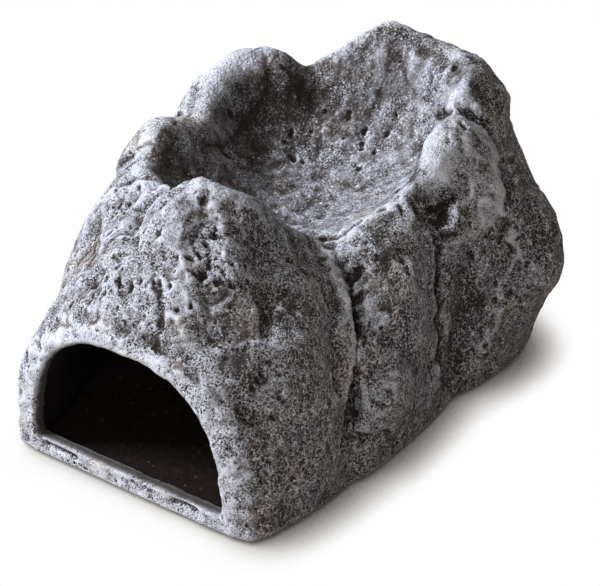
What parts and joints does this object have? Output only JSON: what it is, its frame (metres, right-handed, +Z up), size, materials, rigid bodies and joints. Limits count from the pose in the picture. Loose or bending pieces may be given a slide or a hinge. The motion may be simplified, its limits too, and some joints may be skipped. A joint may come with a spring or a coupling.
{
  "type": "resin cave ornament",
  "caption": "Hollow cast-resin rock with a D-shaped cave mouth and sill at the front, a dark cave inside and an open basin on top, closed below by a bonded base plate on foot pads.",
  "frame": {"origin": "middle of the rock's plan box, on the ground under the foot pads", "axes": "+Y from the mouth to the back, +X to the right seen from the mouth, +Z up"},
  "size_m": [0.168, 0.206, 0.128],
  "materials": {
    "painted_resin": "matt charcoal base coat, dry-brushed with pale grey",
    "base_resin": "matt charcoal base coat",
    "adhesive": "cured, satin",
    "pad_foam": "matt closed-cell foam"
  },
  "bodies": {
    "root": {"rock_shell": "painted_resin", "base_plate": "base_resin", "bond_bead": "adhesive", "foot_pad_front_left": "pad_foam", "foot_pad_front_right": "pad_foam", "foot_pad_back_left": "pad_foam", "foot_pad_back_right": "pad_foam"}
  },
  "joints": []
}
